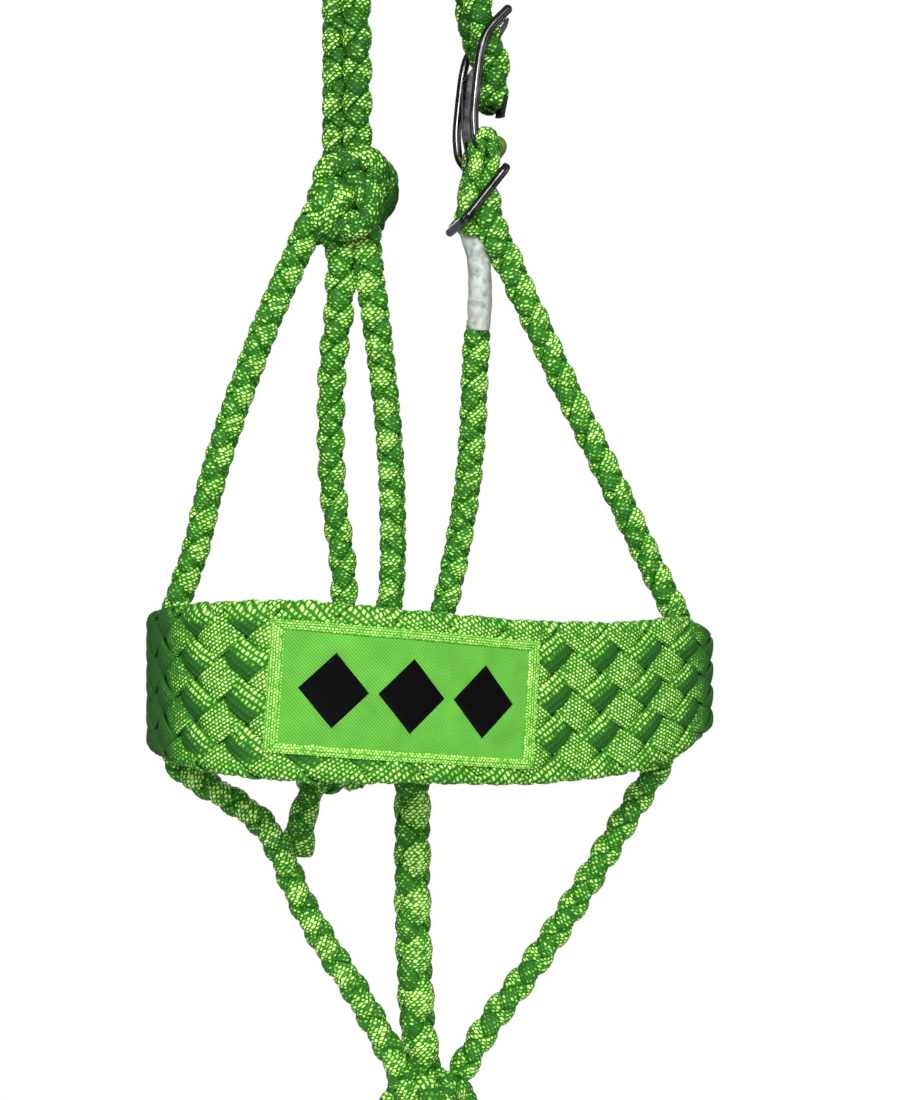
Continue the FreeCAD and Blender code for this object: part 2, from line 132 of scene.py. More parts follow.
class Look:
    """A material in the making: short ways to add what the looks below share."""

    def __init__(self, name, colour, roughness):
        self.material = bpy.data.materials.new(name)
        self.material.use_nodes = True
        self.nodes = self.material.node_tree.nodes
        self.shader = self.nodes["Principled BSDF"]
        self.feed(self.shader, {"Base Color": (*colour, 1), "Roughness": roughness})

    def feed(self, node, inputs):
        """Sets a node's inputs: an output is linked to its input, anything else is a constant."""
        for name, value in inputs.items():
            if isinstance(value, bpy.types.NodeSocket):
                self.material.node_tree.links.new(value, node.inputs[name])
            else:
                node.inputs[name].default_value = value

    def add(self, kind, inputs, **settings):
        node = self.nodes.new(kind)
        for name, value in settings.items():
            setattr(node, name, value)
        self.feed(node, inputs)
        return node

    def weave(self):
        """The weave attribute: mm across the piece, mm along it and the painted light there, low
        for painted shade.
        """
        return self.add("ShaderNodeAttribute", {}, attribute_name="weave").outputs["Vector"]

    def place(self):
        return self.add("ShaderNodeTexCoord", {}).outputs["Object"]

    def noise(self, place, scale, detail=2, distortion=0.0):
        return self.add("ShaderNodeTexNoise", {"Vector": place, "Scale": scale, "Detail": detail,
                                               "Distortion": distortion})

    def bands(self, place, direction, scale, distortion, detail):
        inputs = {"Vector": place, "Scale": scale, "Distortion": distortion, "Detail": detail}
        wave = self.add("ShaderNodeTexWave", inputs, wave_type="BANDS", bands_direction=direction)
        return wave.outputs["Fac"]

    def multiply(self, first, second):
        node = self.add("ShaderNodeMath", {0: first, 1: second}, operation="MULTIPLY")
        return node.outputs["Value"]

    def multiply_colours(self, first, second):
        mix = self.add("ShaderNodeMix", {"Factor": 1.0, "A": first, "B": second},
                       data_type="RGBA", blend_type="MULTIPLY")
        return mix.outputs["Result"]

    def between(self, value, low, high, low_result, high_result):
        """low_result where value is low or less, high_result where it is high or more."""
        inputs = {"Value": value, "From Min": low, "From Max": high, "To Min": low_result,
                  "To Max": high_result}
        return self.add("ShaderNodeMapRange", inputs).outputs["Result"]

    def ramp(self, value, stops):
        """A colour that follows value through stops of (value, colour)."""
        node = self.add("ShaderNodeValToRGB", {"Fac": value})
        band = node.color_ramp
        while len(band.elements) < len(stops):
            band.elements.new(0.5)
        for element, (place, colour) in zip(band.elements, stops):
            element.position = place
            element.color = (*colour, 1)
        return node.outputs["Color"]

    def paint(self, colour):
        self.feed(self.shader, {"Base Color": colour})

    def bump(self, height, strength, distance):
        node = self.add("ShaderNodeBump", {"Height": height, "Strength": strength,
                                           "Distance": distance})
        self.feed(self.shader, {"Normal": node.outputs["Normal"]})


# greens of the tape ground and yarn floats; the last, near white, is painted glint on the brightest
# floats
DEEP_GREEN = (0.017, 0.150, 0.008)
MID_GREEN = (0.055, 0.31, 0.016)
LIME = (0.27, 0.72, 0.055)
PAINTED_GLINT_LIME = (0.70, 1.0, 0.27)


def woven_tape(name, ground, pitch, rib, wander, faint, floats, depth):
    """Ribbed flat tape: short bright yarn floats in ribs along it, over darker green ground.

    pitch and rib are a float's length and a rib's width, and wander how far a float may be out of
    line, all in mm. faint is how bright the dullest patch is, and floats how bright the dullest and
    the brightest single float are. The floats get as much painted light as the weave attribute
    says, and painted shade darkens the green where it says little.
    """
    look = Look(name, MID_GREEN, 0.45)
    look.feed(look.shader, {"Specular IOR Level": 0.3})
    weave = look.weave()
    split = look.add("ShaderNodeSeparateXYZ", {0: weave})
    light_paint = split.outputs["Z"]
    turned = look.add("ShaderNodeCombineXYZ", {"X": split.outputs["Y"], "Y": split.outputs["X"]})
    wobble = look.noise(turned.outputs[0], 0.42)
    shift = look.add("ShaderNodeVectorMath", {0: wobble.outputs["Color"], 1: (wander, wander, 0),
                                              2: turned.outputs[0]}, operation="MULTIPLY_ADD")
    dullest, brightest = floats
    yarn = look.add("ShaderNodeTexBrick", {
        "Vector": shift.outputs[0],
        "Scale": 1.0,
        "Brick Width": pitch,
        "Row Height": rib,
        "Mortar Size": 0.44 * min(pitch, rib),
        "Mortar Smooth": 1.0,
        "Color1": (dullest, dullest, dullest, 1),
        "Color2": (brightest, brightest, brightest, 1),
        "Mortar": (0, 0, 0, 1),
    }, offset=0.5)
    patches = look.noise(weave, 0.22)
    uneven = look.between(patches.outputs["Fac"], 0.3, 0.7, faint, 1.2)
    # painted light: the floats brighten as far as the weave attribute's painted light lets them
    lit = look.multiply(yarn.outputs["Color"], look.multiply(light_paint, uneven))
    half_way = tuple(0.5 * (a + b) for a, b in zip(ground, MID_GREEN))
    green = look.ramp(lit, [(0.0, ground), (0.26, half_way), (0.5, LIME), (0.82, PAINTED_GLINT_LIME)])
    # painted shade: the green darkens where the painted light is low, in dips, at edges and on
    # turned-away parts
    shade_paint = look.ramp(light_paint, [(0.0, (0.55, 0.60, 0.52)), (0.4, (0.85, 0.87, 0.84)),
                                  (0.8, (1, 1, 1))])
    look.paint(look.multiply_colours(green, shade_paint))
    look.feed(look.shader, {"Roughness": look.between(lit, 0.0, 1.0, 0.6, 0.32)})
    height = look.add("ShaderNodeMath", {0: 1.0, 1: yarn.outputs["Fac"]}, operation="SUBTRACT")
    look.bump(height.outputs["Value"], 0.9, depth)
    return look.material


def twill(name):
    """Fine green twill, its ribs on the slant."""
    look = Look(name, (0.10, 0.42, 0.03), 0.85)
    weave = look.weave()
    ribs = look.bands(weave, "DIAGONAL", 0.42, 0.6, 1)
    cloudy = look.noise(weave, 0.08)
    rib_colour = look.ramp(ribs, [(0.1, (0.065, 0.31, 0.02)), (0.8, (0.135, 0.49, 0.045))])
    cloud_colour = look.ramp(cloudy.outputs["Fac"], [(0.3, (0.85, 0.85, 0.85)),
                                                     (0.7, (1.1, 1.1, 1.1))])
    look.paint(look.multiply_colours(rib_colour, cloud_colour))
    look.bump(ribs, 0.5, 0.00015)
    return look.material


def satin_thread(name, colour, bright, sheen):
    """Dense embroidery: fine parallel threads with a silky gloss."""
    look = Look(name, colour, 0.5)
    look.feed(look.shader, {"Specular IOR Level": sheen})
    threads = look.bands(look.weave(), "Y", 0.75, 1.2, 2)
    look.paint(look.ramp(threads, [(0.2, colour), (0.9, bright)]))
    look.bump(threads, 0.7, 0.0002)
    return look.material


def black_nickel(name, dark, bright):
    """Polished dark plating with faint casting waves and handling marks."""
    look = Look(name, (0.05, 0.048, 0.05), 0.14)
    look.feed(look.shader, {"Metallic": 1.0})
    place = look.place()
    waves = look.noise(place, 160, 3).outputs["Fac"]
    marks = look.noise(place, 900, 4).outputs["Fac"]
    look.feed(look.shader, {"Roughness": look.between(marks, 0.35, 0.75, 0.07, 0.26)})
    look.paint(look.ramp(waves, [(0.3, (dark, dark, dark)),
                                 (0.7, (bright, 0.96 * bright, 0.98 * bright))]))
    look.bump(waves, 0.25, 0.0002)
    return look.material


def wrapped_tape(name):
    """White vinyl tape, semi-gloss, with faint grey crease bumps and grey patches of painted shade.
    """
    look = Look(name, (0.6, 0.63, 0.61), 0.36)
    creases_and_painted_shade = look.noise(look.place(), 210, 4, 0.8).outputs["Fac"]
    # grey painted shade where the noise is low, standing in for the shading of the tape's lumps
    look.paint(look.ramp(creases_and_painted_shade, [(0.32, (0.26, 0.30, 0.26)), (0.62, (0.56, 0.60, 0.56))]))
    look.bump(creases_and_painted_shade, 0.5, 0.0005)
    return look.material


def melted_rope(name):
    """Polyester melted to a hard, glossy olive lump."""
    look = Look(name, (0.12, 0.24, 0.02), 0.3)
    blobs = look.noise(look.place(), 420, 3).outputs["Fac"]
    look.paint(look.ramp(blobs, [(0.3, (0.03, 0.085, 0.008)), (0.7, (0.13, 0.22, 0.016))]))
    look.bump(blobs, 0.7, 0.0008)
    return look.material


# ---------------------------------------------------------------- mesh helpers

def add_mesh(name, parts, material):
    """A smooth-shaded object from parts: (points n x 3, faces as index rows, weave n x 3) each."""
    points, faces, weave = [], [], []
    start = 0
    for part_points, part_faces, part_weave in parts:
        points.append(part_points)
        faces.extend((np.asarray(f) + start).tolist() for f in part_faces)
        weave.append(part_weave)
        start += len(part_points)
    mesh = bpy.data.meshes.new(name)
    mesh.from_pydata(np.concatenate(points).tolist(), [], faces)
    weave = np.concatenate(weave).astype(np.float32)
    mesh.attributes.new("weave", "FLOAT_VECTOR", "POINT").data.foreach_set("vector", weave.ravel())
    mesh.materials.append(MATERIALS[material])
    mesh.polygons.foreach_set("use_smooth", [True] * len(mesh.polygons))
    mesh.update()
    obj = bpy.data.objects.new(name, mesh)
    bpy.context.collection.objects.link(obj)
    return obj


def settle(obj, slot, body, *nodes):
    """Gives a piece its body and says which CAD nodes it replaces; slot is not used."""
    if nodes:
        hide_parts(*nodes)
    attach(obj, body)


def smooth_step(values, low, high):
    """0 up to low, 1 from high on, and smooth in between."""
    share = np.clip((values - low) / (high - low), 0, 1)
    return share * share * (3 - 2 * share)


def weave_rows(across, along, painted_light=1.0):
    """Rows of the weave attribute from arrays that fit one shape."""
    across, along, painted_light = np.broadcast_arrays(across, along, painted_light)
    return np.stack([across.ravel(), along.ravel(), painted_light.ravel()], 1)


def tube_faces(rings, sides):
    """Quads between rings of points, whose numbers run ring by ring, and a face at each end."""
    faces = []
    for i in range(rings - 1):
        for k in range(sides):
            following = (k + 1) % sides
            faces.append((i * sides + k, i * sides + following,
                          (i + 1) * sides + following, (i + 1) * sides + k))
    faces.append(tuple(range(sides))[::-1])
    faces.append(tuple((rings - 1) * sides + k for k in range(sides)))
    return faces


def smooth_line(route_mm):
    """Points, in metres, of the NURBS line whose control points are the route's."""
    curve = bpy.data.curves.new("route", "CURVE")
    curve.dimensions = "3D"
    spline = curve.splines.new("NURBS")
    spline.points.add(len(route_mm) - 1)
    for point, place in zip(spline.points, route_mm):
        point.co = (*(v * MM for v in place), 1)
    spline.order_u = 3
    spline.use_endpoint_u = True
    spline.resolution_u = 24
    carrier = bpy.data.objects.new("route", curve)
    bpy.context.collection.objects.link(carrier)
    bpy.context.view_layer.update()
    line = bpy.data.meshes.new_from_object(carrier)
    points = np.array([v.co[:] for v in line.vertices])
    bpy.data.objects.remove(carrier)
    bpy.data.curves.remove(curve)
    bpy.data.meshes.remove(line)
    return points


class Line:
    """A smooth line with a frame that doesn't twist, read by length along it."""

    def __init__(self, points, step=0.0012):
        gaps = np.linalg.norm(np.diff(points, axis=0), axis=1)
        lengths = np.concatenate([[0], np.cumsum(gaps)])
        self.length = lengths[-1]
        count = max(8, int(self.length / step) + 1)
        self.at = np.linspace(0, self.length, count)
        self.points = np.stack([np.interp(self.at, lengths, points[:, k]) for k in range(3)], 1)
        ahead = np.gradient(self.points, self.at, axis=0)
        self.tangents = ahead / np.linalg.norm(ahead, axis=1, keepdims=True)
        side = np.cross(self.tangents[0], (0.0, 1.0, 0.0))
        if np.linalg.norm(side) < 0.2:
            side = np.cross(self.tangents[0], (1.0, 0.0, 0.0))
        sides = []
        for tangent in self.tangents:
            side = side - tangent * side.dot(tangent)
            side = side / np.linalg.norm(side)
            sides.append(side)
        self.sides = np.array(sides)
        self.ups = np.cross(self.tangents, self.sides)

    def read(self, values, s):
        """values along the line, at lengths s; past an end the end's value."""
        return np.stack([np.interp(s, self.at, values[:, k]) for k in range(3)], -1)

    def place(self, s):
        """Points at lengths s; past an end the line goes on straight."""
        inside = np.clip(s, 0, self.length)
        beyond = (s - inside)[..., None]
        return self.read(self.points, inside) + self.read(self.tangents, inside) * beyond


# ---------------------------------------------------------------- braided rope

STRAND_SIDES = 14
PLUMP = 1.12        # how far the plait's bumps stand out past the rope's nominal diameter


def braid_parts(line, diameter, phase=0.0, swell=None, squeeze=None, pitch_share=2.5, painted_dimming=0.0,
                shine=(1.32, 0.58), lead=0.09, relief=1.0, round_end=False):
    """Four flat tapes braided round: two wind each way and pass over and under each other.

    swell: (length along the line) -> factor on the rope's radius.
    squeeze: (line, lengths) -> (factor, direction) that flattens the rope across direction.
    pitch_share: a tape's full turn, in diameters. dull: how much painted shade dims all the tapes.
    shine: how much painted sheen the two tapes that wind each way get. lead: how much wider the
    first two are.
    relief: how much the tapes stand out from each other. round_end: the far end is drawn in.
    """
    pitch = pitch_share * diameter
    diameter = PLUMP * diameter
    middle_radius = (0.405 - 0.12 * relief) * diameter
    lift = 0.10 * relief * diameter
    slant = math.atan2(2 * math.pi * middle_radius, pitch)
    # a tape's section: an oval that bulges more on its outer side
    turn = np.linspace(0, 2 * math.pi, STRAND_SIDES, endpoint=False) + math.pi / STRAND_SIDES
    share = np.cos(turn)
    outer = np.sin(turn) > 0
    bulge = np.where(outer, 0.06 + 0.075 * relief, 0.08) * diameter * np.sin(turn)
    steps = max(6, int(line.length / (0.095 * diameter)))
    s = np.linspace(0, line.length, steps)[:, None]
    parts = []
    for way, gloss in zip((1, -1), shine):
        across = 1.175 * middle_radius * (1 + lead * way) * share
        over = way * (np.cos(4 * math.pi * s / pitch) + lead)
        over = np.tanh(1.3 * over) / math.tanh(1.3)
        # painted shade: darker where a tape goes under the next and towards its edges, dark on its
        # inner side; each way of winding gets its own painted sheen, and all lose the painted
        # dimming
        painted_light = (0.62 + 0.38 * over) * (1 - 0.5 * np.abs(share) ** 4)
        painted_light = np.where(outer, painted_light, 0.1) * gloss - painted_dimming
        along = np.clip(s - way * across * math.sin(slant), 0, line.length)
        radius = middle_radius + lift * over + bulge
        if swell:
            radius = radius * swell(along)
        if round_end:
            late = np.clip((along - line.length) / (0.32 * diameter) + 1, 0, 1)
            radius = radius * np.sqrt(1 - 0.75 * late ** 3)
        for half in (0, 1):
            angle = way * (2 * math.pi * s / pitch) + math.pi * half + phase
            around = angle + across * math.cos(slant) / middle_radius
            points = points_round(line, along, around, radius, squeeze)
            weave = weave_rows(across / MM + 40 * half,
                               s / math.cos(slant) / MM + 17 * way, painted_light)
            parts.append((points, tube_faces(steps, STRAND_SIDES), weave))
    parts.append(rope_heart(line, 0.2 * diameter))
    return parts


def points_round(line, along, around, radius, squeeze):
    """Points at a radius and an angle round the line, pressed flat where squeeze says so."""
    offset = radius[..., None] * (np.cos(around)[..., None] * line.read(line.sides, along)
                                  + np.sin(around)[..., None] * line.read(line.ups, along))
    if squeeze:
        factor, direction = squeeze(line, along)
        factor = factor[..., None]
        flat = (offset * direction).sum(-1, keepdims=True)
        wide = (offset * BAR_AXIS).sum(-1, keepdims=True)
        offset = offset - (1 - factor) * flat * direction
        offset = offset + (factor ** -0.2 - 1) * wide * BAR_AXIS
    return (line.place(along) + offset).reshape(-1, 3)


def rope_heart(line, radius):
    """The filling that the tapes are braided round, painted dark as the shade between them."""
    turn = np.linspace(0, 2 * math.pi, 8, endpoint=False)[None, :]
    s = np.arange(0, line.length, 0.004)[:, None] + 0 * turn
    offset = (np.cos(turn)[..., None] * line.read(line.sides, s)
              + np.sin(turn)[..., None] * line.read(line.ups, s))
    points = (line.place(s) + radius * offset).reshape(-1, 3)
    return points, tube_faces(len(s), 8), weave_rows(turn * radius / MM, s / MM, 0.05)


def bar_squeeze(centre, reach, factor):
    """Flattens a rope against the heel bar within reach of it, most where it is nearest."""
    centre = np.array(centre)

    def squeeze(line, along):
        away = np.linalg.norm((line.place(along) - centre)[..., [0, 2]], axis=-1)
        near = smooth_step(reach - away, 0, reach * 0.5)
        tangents = line.read(line.tangents, np.clip(along, 0, line.length))
        direction = np.cross(tangents, BAR_AXIS)
        direction = direction / np.linalg.norm(direction, axis=-1, keepdims=True)
        return 1 - (1 - factor) * near, direction
    return squeeze


def rope_piece(name, node, route, diameter=ROPE, phase=0.0, lay="taut", replaces=(),
               material="rope", **braid):
    """A rope: its braid follows the route's own smooth line."""
    line = Line(smooth_line(route))
    obj = add_mesh(name, braid_parts(line, diameter, phase, **braid), material)
    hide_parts(node, *replaces)
    return obj


# Routes of the ropes in mm, along the part's, with points added where a rope goes on into a knot.
CROWN_STRAND_FRONT = [
    (-25.5, -3.5, -268), (-24.2, -4, -182), (-34, -6, -128), (-40.5, -7.5, -80), (-40, -8, -33),
    (-24.7, -8, -12), (0, -8, -4), (24.7, -8, -12), (40, -8, -33), (41, -8, -80),
    (37, -8, -126), (31, -8.2, -158), (28.5, -8.3, -187), (32, -7.6, -203), (37.8, -6.3, -216),
    (38.6, -6, -229), (36.3, -6.6, -241.5),
]
CROWN_STRAND_REAR = [
    (-36, 5, -268), (-35.2, 5, -182), (-39, 6.5, -128), (-42, 7.5, -80), (-40.5, 8, -33),
    (-24.7, 8, -12), (0, 8, -4), (24.7, 8, -12), (40, 8, -33), (40, 8, -80),
    (35, 8, -126), (28.5, 7.6, -158), (25, 7.3, -187), (28.2, 8.2, -204), (34, 9.3, -217),
    (36.5, 9.9, -229), (36.6, 9.9, -239.5),
]
CHEEK_ROPE_LEFT = [
    (-21, -6, -276), (-29, -13, -280.5), (-39, -13.5, -285.5), (-46.5, -9, -293.5), (-51, -4, -303),
    (-56.5, -0.5, -314), (-66, 1, -334), (-74.5, 2, -356),
    (-83.5, 3.5, -380), (-91, 5, -402), (-96.5, 6, -422), (-101, 7, -443), (-108, 7.5, -462),
    (-113, 8, -478), (-114, 8, -494),
]
CHEEK_ROPE_RIGHT = [
    (28.0, -3, -297), (26.6, -7, -290), (26.4, -9.5, -283), (28.4, -11.0, -273.5),
    (29.8, -13.4, -266), (29.4, -14.2, -258.6), (33.0, -13.2, -254.4), (36.9, -12.0, -258.6),
    (36.0, -11.0, -266), (33.8, -9.5, -275), (33.6, -8.4, -284), (35.0, -7.2, -293),
    (38.2, -4.6, -301),
    (43.5, -2, -309), (49.5, -1.5, -323), (56.5, 0, -337), (69.5, 4, -365), (84, 8, -393),
    (98.5, 13, -422), (112.5, 18, -451), (125, 22.5, -474), (131, 23.5, -488), (132, 24, -500),
]
THROAT_ROPE_LEFT_OUTER = [
    (-33, 0, -290), (-33, 1, -309), (-34.4, 8, -333), (-38.5, 15, -356), (-39.5, 22, -379),
    (-40, 28, -402), (-38.5, 34, -425), (-35, 40, -448), (-34, 44, -472), (-41, 44, -516),
]
THROAT_ROPE_LEFT_INNER = [
    (-22, 0, -290), (-21.3, 1, -309), (-17.7, 8, -333), (-15, 16, -357), (-12.5, 23, -380),
    (-11, 30, -403), (-10.5, 36, -426), (-10.5, 41, -449), (-12, 44.5, -475), (-24, 44, -515),
]
THROAT_ROPE_RIGHT = [
    (30.5, 8.5, -336), (29, 14, -358), (28.5, 21, -380), (27, 28, -403), (24, 34, -426),
    (20, 39.5, -448), (15, 44, -472), (4, 45, -497), (-20, 43, -526),
]
CHIN_ROPE_LEFT = [
    (-113, 8.3, -524), (-113, 8.6, -538), (-108, 9, -548), (-88, 9, -559), (-70.5, 9, -571),
    (-61.5, 9, -586), (-55, 9.5, -604), (-47.5, 9.5, -618), (-38.5, 8, -633), (-29.5, 6, -645),
    (-22.5, 3.5, -656), (-14.5, 1, -669), (-6.5, 0, -684), (-1, 0, -697),
]
CHIN_ROPE_RIGHT = [
    (128, 23.6, -522), (122.5, 23.3, -537), (115.5, 23, -549), (105.5, 22, -564.5),
    (90.5, 21, -589), (76, 20, -613), (54, 18, -645), (33, 16, -671), (20.5, 15, -694),
]
CHIN_RISER_ROPE = [
    (-12, 30, -528), (-1, 17, -541), (-0.5, 16.5, -556), (-0.5, 17, -585), (-0.5, 17.5, -616),
    (0.7, 17, -647), (2, 16, -672), (6, 14, -698),
]
LEAD_LOOP = [
    (1, 9, -722), (-1, 9, -731), (-5, 9, -741), (-17, 9, -752), (-22, 9, -773), (-12, 9, -792),
    (7, 9, -799), (26, 9, -792), (36, 9, -773), (31, 9, -752), (19, 9, -741), (15, 9, -731),
    (13, 9, -722),
]
KNOT_TAIL = [(-48, 34, -556), (-52, 32, -566.5), (-55, 32.4, -577), (-57, 32, -591)]
THROAT_FOLD = [
    (38.4, 9.4, -256.0), (36, 9.2, -254.6), (32, 8.4, -254.4), (27.5, 7, -258.6),
    (26.6, 6.7, -266), (25.6, 6.2, -276), (25.5, 5, -286), (26.8, 3.5, -296),
]


def make_ropes():
    """Every rope, the loose tail and the fold over the heel bar; the knots are made apart."""
    for name, route, phase in (
        ("crown_strand_front", CROWN_STRAND_FRONT, 0.0),
        ("crown_strand_rear", CROWN_STRAND_REAR, 0.9),
    ):
        # the crown strands take the shade-painted copy of the rope tape and less painted sheen
        strand = rope_piece(name + "_braid", name, route, phase=phase, lay="hanging",
                            material="shade_painted_rope", round_end=True, shine=(1.05, 0.45))
        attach(strand, "crown")
    pressed = bar_squeeze(HEEL, reach=0.022, factor=0.62)
    make_cheek_ropes(pressed)
    make_throat_ropes()
    make_chin_ropes()
    loop = rope_piece("lead_loop_braid", "lead_loop", LEAD_LOOP, lay="hanging")
    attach(loop, "loop")

    line = Line(smooth_line(KNOT_TAIL))
    tail = add_mesh("knot_tail_braid", braid_parts(
        line, ROPE, 0.3, swell=lambda s: 0.95 + 0.42 * np.clip(s / line.length, 0, 1) ** 1.6,
        relief=0.6), "rope")
    settle(tail, "rope", "tail", "knot_tail")

    # the fold takes the shade-painted copy of the rope tape
    fold = add_mesh("throat_fold_braid",
                    braid_parts(Line(smooth_line(THROAT_FOLD)), ROPE, 0.3, squeeze=pressed),
                    "shade_painted_rope")
    settle(fold, "rope", "crown", "throat_fold")


def make_cheek_ropes(pressed):
    left = rope_piece("cheek_rope_left_braid", "cheek_rope_left", CHEEK_ROPE_LEFT, phase=0.4)
    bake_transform(left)
    right = rope_piece("cheek_rope_right_braid", "cheek_rope_right", CHEEK_ROPE_RIGHT,
                       phase=1.2, replaces=("cheek_fold",), squeeze=pressed,
                       swell=lambda s: 1 + 0.13 * np.exp(-((s - 0.09) / 0.02) ** 2))
    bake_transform(right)


def make_throat_ropes():
    """The left pair starts thicker, where it leaves the knot; the right one leaves its tape."""
    for name, route, x, phase in (
        ("throat_rope_left_outer", THROAT_ROPE_LEFT_OUTER, -0.0345, 0.2),
        ("throat_rope_left_inner", THROAT_ROPE_LEFT_INNER, -0.0205, 2.1),
    ):
        rope = rope_piece(name + "_braid", name, route, phase=phase,
                          swell=lambda s: 1 + 0.12 * np.exp(-(s / 0.055) ** 2))
        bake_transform(rope)
    right = rope_piece("throat_rope_right_braid", "throat_rope_right", THROAT_ROPE_RIGHT,
                       phase=0.7, swell=lambda s: 0.8 + 0.2 * np.clip(s / 0.008, 0, 1))
    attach(right, "headstall")


def make_chin_ropes():
    left = rope_piece("chin_rope_left_braid", "chin_rope_left", CHIN_ROPE_LEFT, phase=1.5)
    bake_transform(left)
    right = rope_piece("chin_rope_right_braid", "chin_rope_right", CHIN_ROPE_RIGHT, phase=0.1)
    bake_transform(right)
    # the riser's tapes get more painted sheen than the other ropes'
    riser = rope_piece("chin_riser_rope_braid", "chin_riser_rope", CHIN_RISER_ROPE, RISER,
                       phase=0.6, pitch_share=2.8, shine=(1.5, 0.55), lead=0.2)
    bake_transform(riser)


# ---------------------------------------------------------------- knots

KNOT_BIGHTS = 4
KNOT_LEADS = 3
KNOT_TURN = 0.0062      # from a woven knot's outside to its rope's middle line


def core(centre, half):
    """A closed rounded filling, in mm, so that no light shows between a knot's turns; it has no
    painted light, so it shows as painted shade.
    """
    centre = np.array(centre) * MM
    half = np.array(half) * MM
    sides = 24
    rings = 14
    points = []
    for i in range(rings):
        lift = -math.pi / 2 + math.pi * (i + 0.5) / rings
        for k in range(sides):
            a = 2 * math.pi * k / sides
            points.append(centre + half * (math.cos(lift) * math.cos(a),
                                           math.cos(lift) * math.sin(a), math.sin(lift)))
    points = np.array(points)
    return points, tube_faces(rings, sides), weave_rows(*points[:, [0, 2]].T / MM, 0.0)


def woven_knot(name, node, body, centre, half, phase=0.0):
    """A round woven knot: one rope that goes KNOT_LEADS times round while it goes up and down."""
    centre = np.array(centre) * MM
    inner = np.array(half) * MM - KNOT_TURN
    t = np.linspace(0, 2 * math.pi * KNOT_LEADS, 260)
    lift = 0.95 * np.sin(KNOT_BIGHTS / KNOT_LEADS * t + phase)
    weave = 1 + 0.09 * np.cos(2 * KNOT_BIGHTS / (KNOT_LEADS - 1) * t + phase)
    points = np.stack([np.cos(t) * np.cos(lift), np.sin(t) * np.cos(lift), np.sin(lift)], 1)
    parts = braid_parts(Line(centre + points * weave[:, None] * inner), ROPE, 0.4)
    parts.append(core(centre / MM, inner / MM))
    settle(add_mesh(name, parts, "rope"), "rope", body, node)


# Each turn of the cheek knot: its route in mm and how much painted shade dims it. The cheek rope
# itself is the turn that comes out of the middle, down to the left.
SIDE_KNOT_TURNS = [
    # across the front at the top and down the right side
    ([(-37.5, 2, -281), (-41, -8, -275.5), (-37, -13, -269), (-28.5, -15, -267.5),
      (-20, -14.5, -265.5), (-15.2, -12, -270.5), (-17, -8, -278), (-20, -3, -285)], 0.0),
    # the smooth lobe behind it on the right, with the most painted shade
    ([(-24, 6, -263), (-15, 2.5, -267), (-12, -2, -273), (-12.4, -3, -281), (-16, 0, -288),
      (-23, 4, -291)], 0.5),
    # beside the cheek rope, down to the left
    ([(-24.5, -6, -281), (-32, -12.5, -284.5), (-36.5, -13.5, -290.5), (-40, -10.5, -297),
      (-40, -4, -301)], 0.0),
    # to the left from the middle
    ([(-24, -7, -275), (-31, -11.5, -278.5), (-38.5, -11.5, -279.5), (-43.5, -7, -282.5),
      (-43, 0, -290)], 0.2),
    # down on the right of the gap, then round to the left at the bottom
    ([(-30, -7, -271), (-26, -13, -275), (-21, -15.5, -281), (-18, -15, -288.5),
      (-20.5, -14, -294.5), (-27, -13.5, -296.5), (-35.5, -9.5, -298), (-42, -3, -295)], 0.0),
    # the turns that close the back
    ([(-38, 2, -278), (-40, 11, -272), (-24, 15, -275), (-15, 8, -281), (-19, 1, -285)], 0.1),
    ([(-37, 2, -289), (-37, 11, -287), (-25, 13, -291), (-18, 4, -291)], 0.1),
    ([(-33, 4, -266), (-35, 14, -276), (-29, 14, -290), (-29, 4, -297)], 0.1),
]


def make_knots():
    parts = [core((-28, -1, -281), (14, 9, 17))]
    for number, (route, painted_dimming) in enumerate(SIDE_KNOT_TURNS):
        parts += braid_parts(Line(smooth_line(route)), ROPE, 0.8 * number, painted_dimming=painted_dimming,
                             pitch_share=3.0, relief=0.4, shine=(0.95, 0.5))
    side = add_mesh("side_knot_left_turns", parts, "shade_painted_rope")
    settle(side, "rope", "crown", "side_knot_left")
    woven_knot("throat_knot_turns", "throat_knot", "headstall", (-41, 42, -538), (24, 18, 27),
               phase=0.5)
    woven_knot("chin_knot_turns", "chin_knot", "chin", (7, 9, -709), (24, 20, 24))


# ---------------------------------------------------------------- noseband

# The plait's middle line seen from above, in mm; both ends roll inwards round the side ropes.
NOSEBAND_PLAN = [
    (-103, 4), (-102, 14), (-110, 20), (-118.5, 14), (-119, 0), (-111.5, -32), (-90, -64),
    (-50, -79), (2, -69), (52, -44), (98, -20), (127, 0), (138.5, 18), (137, 31), (128, 34),
    (121, 27), (124, 18),
]
# share of the plait's length, middle height and half height in mm
NOSEBAND_SHAPE = [
    (0.0, -504, 22), (0.05, -504.5, 25), (0.108, -504.5, 28.8), (0.19, -502.5, 31),
    (0.28, -502, 34.2), (0.38, -502.4, 36.2), (0.51, -506, 34.9), (0.64, -510.6, 34.4),
    (0.763, -511, 33.0), (0.848, -506, 30.6), (0.90, -505, 22), (0.96, -505, 20), (1.0, -505, 19),
]
HALF_HEIGHT = 38.0  # mm, of the section that is stretched to the band's own height
EDGE_RADIUS = 2.5   # mm, of its rounded edges
TAPES_EACH_WAY = 8
CLIMB = 0.80        # how far a tape rises for each step along the band


def softened(values):
    """The values with their corners rounded off."""
    weights = np.hanning(21) / np.hanning(21).sum()
    return np.convolve(np.pad(values, 10, mode="edge"), weights, mode="valid")


